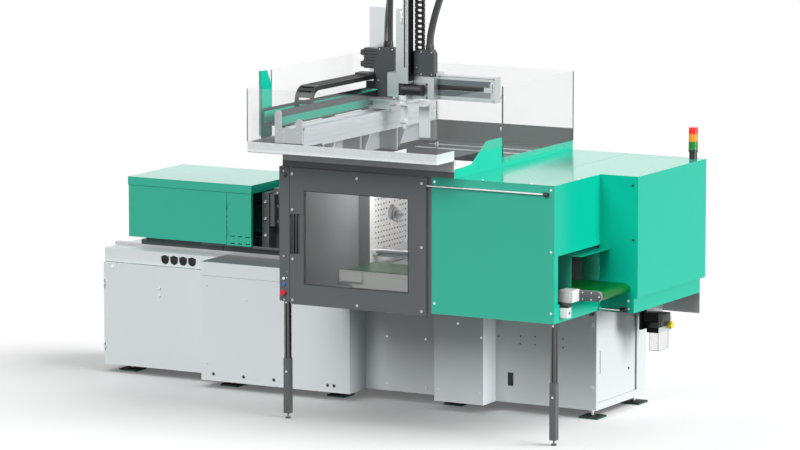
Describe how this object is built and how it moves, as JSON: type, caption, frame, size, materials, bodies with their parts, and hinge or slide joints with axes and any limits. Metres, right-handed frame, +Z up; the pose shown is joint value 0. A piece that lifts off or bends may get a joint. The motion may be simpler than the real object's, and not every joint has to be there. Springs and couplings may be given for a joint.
{
  "type": "injection moulding machine",
  "caption": "Horizontal injection moulding machine with guarded mould space, overhead unloading gantry robot with clear screens, and a parts conveyor.",
  "frame": {"origin": "on the floor, at the middle of the machine's footprint", "axes": "+X along the machine axis from the injection side to the clamp side, +Y away from the operator, +Z up"},
  "size_m": [4.828, 2.2, 3.512],
  "materials": {
    "grey_hose": "smooth",
    "green_paint": "satin",
    "dark_paint": "satin",
    "light_paint": "satin",
    "steel": "machined",
    "cast": "machined faces",
    "black_plastic": "matte",
    "aluminium": "anodised",
    "clear": "clear",
    "belt_green": "smooth",
    "white_plastic": "satin",
    "blue_plastic": "satin",
    "red_plastic": "satin",
    "yellow_plastic": "satin",
    "lens_plastic": "translucent",
    "chrome": "polished"
  },
  "bodies": {
    "machine": {"base_frame": "light_paint", "base_front_panel": "light_paint", "base_end_panel": "light_paint", "terminal_box": "light_paint", "middle_cabinet": "light_paint", "left_cabinet": "light_paint", "levelling_feet": "black_plastic", "guide_ways": "steel", "fixed_platen": "cast", "cylinder_platen": "cast", "tie_bars": "chrome", "control_post": "dark_paint", "guard_liner": "light_paint", "front_box_cover": "green_paint", "block_cover": "green_paint", "guide_rods": "chrome", "leg_profiles": "aluminium", "leg_sleeves": "dark_paint", "conveyor_belt": "belt_green", "conveyor_bed": "aluminium", "belt_motor": "white_plastic", "roof_tray": "light_paint", "roof_deck": "dark_paint", "roof_panels": "green_paint", "clear_screens": "clear", "gantry_beam": "light_paint", "chain_trough": "dark_paint", "cross_chain": "black_plastic", "signal_tower": "lens_plastic", "air_unit": "aluminium", "air_bowl": "clear"},
    "cabinet_door": {"left_cabinet_door": "light_paint"},
    "injection_unit": {"injection_sled": "dark_paint", "barrel": "steel", "injection_cover": "green_paint"},
    "injection_lid": {"injection_lid": "green_paint"},
    "nozzle_door": {"nozzle_door": "green_paint"},
    "screw_drive": {"screw_drive": "dark_paint"},
    "screw": {"plasticising_screw": "steel"},
    "mould_platen": {"moving_platen": "cast", "clamp_ram": "chrome"},
    "ejector": {"ejector": "steel"},
    "guard_door": {"guard_door": "dark_paint", "door_window": "clear"},
    "button_white": {"button_white": "white_plastic"},
    "button_blue": {"button_blue": "blue_plastic"},
    "emergency_stop": {"emergency_stop": "red_plastic"},
    "idler_roller": {"idler_roller": "steel"},
    "drive_roller": {"drive_roller": "steel"},
    "cross_unit": {"cross_carriage": "aluminium", "drive_housing": "dark_paint"},
    "kick_unit": {"kick_carriage": "aluminium", "arm_drive_housing": "dark_paint", "arm_chain": "black_plastic", "conduit": "black_plastic", "air_hose": "grey_hose"},
    "arm": {"arm_mast": "aluminium", "wrist_drive": "black_plastic"},
    "gripper": {"gripper": "light_paint"},
    "air_knob": {"air_knob": "yellow_plastic"}
  },
  "joints": [
    {"name": "cabinet_door_hinge", "type": "hinge", "parent": "machine", "child": "cabinet_door", "pos_m": [-2.406, 0.235, 0.45], "axis": [0, 0, -1], "range_deg": [0, 105]},
    {"name": "injection_slide", "type": "slide", "parent": "machine", "child": "injection_unit", "axis": [1, 0, 0], "range_m": [-0.25, 0]},
    {"name": "injection_lid_hinge", "type": "hinge", "parent": "injection_unit", "child": "injection_lid", "pos_m": [-1.65, 1.093, 1.494], "axis": [-1, 0, 0], "range_deg": [0, 80]},
    {"name": "nozzle_door_hinge", "type": "hinge", "parent": "injection_unit", "child": "nozzle_door", "pos_m": [-1.3, 0.261, 1.29], "axis": [0, 0, -1], "range_deg": [0, 100]},
    {"name": "injection_stroke", "type": "slide", "parent": "injection_unit", "child": "screw_drive", "axis": [1, 0, 0], "range_m": [-0.12, 0]},
    {"name": "screw_spin", "type": "hinge", "parent": "screw_drive", "child": "screw", "pos_m": [-1.2, 0.682, 1.37], "axis": [1, 0, 0], "continuous": true},
    {"name": "mould_slide", "type": "slide", "parent": "machine", "child": "mould_platen", "axis": [1, 0, 0], "range_m": [-0.25, 0]},
    {"name": "ejector_stroke", "type": "slide", "parent": "mould_platen", "child": "ejector", "axis": [1, 0, 0], "range_m": [-0.08, 0]},
    {"name": "guard_door_slide", "type": "slide", "parent": "machine", "child": "guard_door", "axis": [1, 0, 0], "range_m": [0, 0.93]},
    {"name": "button_white_press", "type": "slide", "parent": "machine", "child": "button_white", "axis": [0, 1, 0], "range_m": [0, 0.005], "stiffness_N_per_m": 900},
    {"name": "button_blue_press", "type": "slide", "parent": "machine", "child": "button_blue", "axis": [0, 1, 0], "range_m": [0, 0.005], "stiffness_N_per_m": 900},
    {"name": "emergency_stop_press", "type": "slide", "parent": "machine", "child": "emergency_stop", "axis": [0, 1, 0], "range_m": [0, 0.006], "stiffness_N_per_m": 900},
    {"name": "drive_roller_spin", "type": "hinge", "parent": "machine", "child": "drive_roller", "pos_m": [2.318, -0.318, 1.075], "axis": [0, 1, 0], "continuous": true},
    {"name": "idler_roller_spin", "type": "hinge", "parent": "machine", "child": "idler_roller", "pos_m": [0.215, -0.318, 1.075], "axis": [0, 1, 0], "continuous": true},
    {"name": "cross_travel", "type": "slide", "parent": "machine", "child": "cross_unit", "axis": [0, 1, 0], "range_m": [-0.55, 0.45], "deforming": ["cross_chain"]},
    {"name": "kick_travel", "type": "slide", "parent": "cross_unit", "child": "kick_unit", "axis": [1, 0, 0], "range_m": [0, 0.4]},
    {"name": "arm_travel", "type": "slide", "parent": "kick_unit", "child": "arm", "axis": [0, 0, 1], "range_m": [-0.85, 0], "deforming": ["arm_chain"]},
    {"name": "wrist_turn", "type": "hinge", "parent": "arm", "child": "gripper", "pos_m": [0.303, 0.19, 2.33], "axis": [0, 0, 1], "range_deg": [-90, 90]},
    {"name": "air_valve_turn", "type": "hinge", "parent": "machine", "child": "air_knob", "pos_m": [2.2, 0.87, 0.65], "axis": [1, 0, 0], "range_deg": [0, 90]}
  ],
  "couplings": [
    {"joint": "idler_roller_spin", "follows": "drive_roller_spin", "ratio": 1}
  ]
}
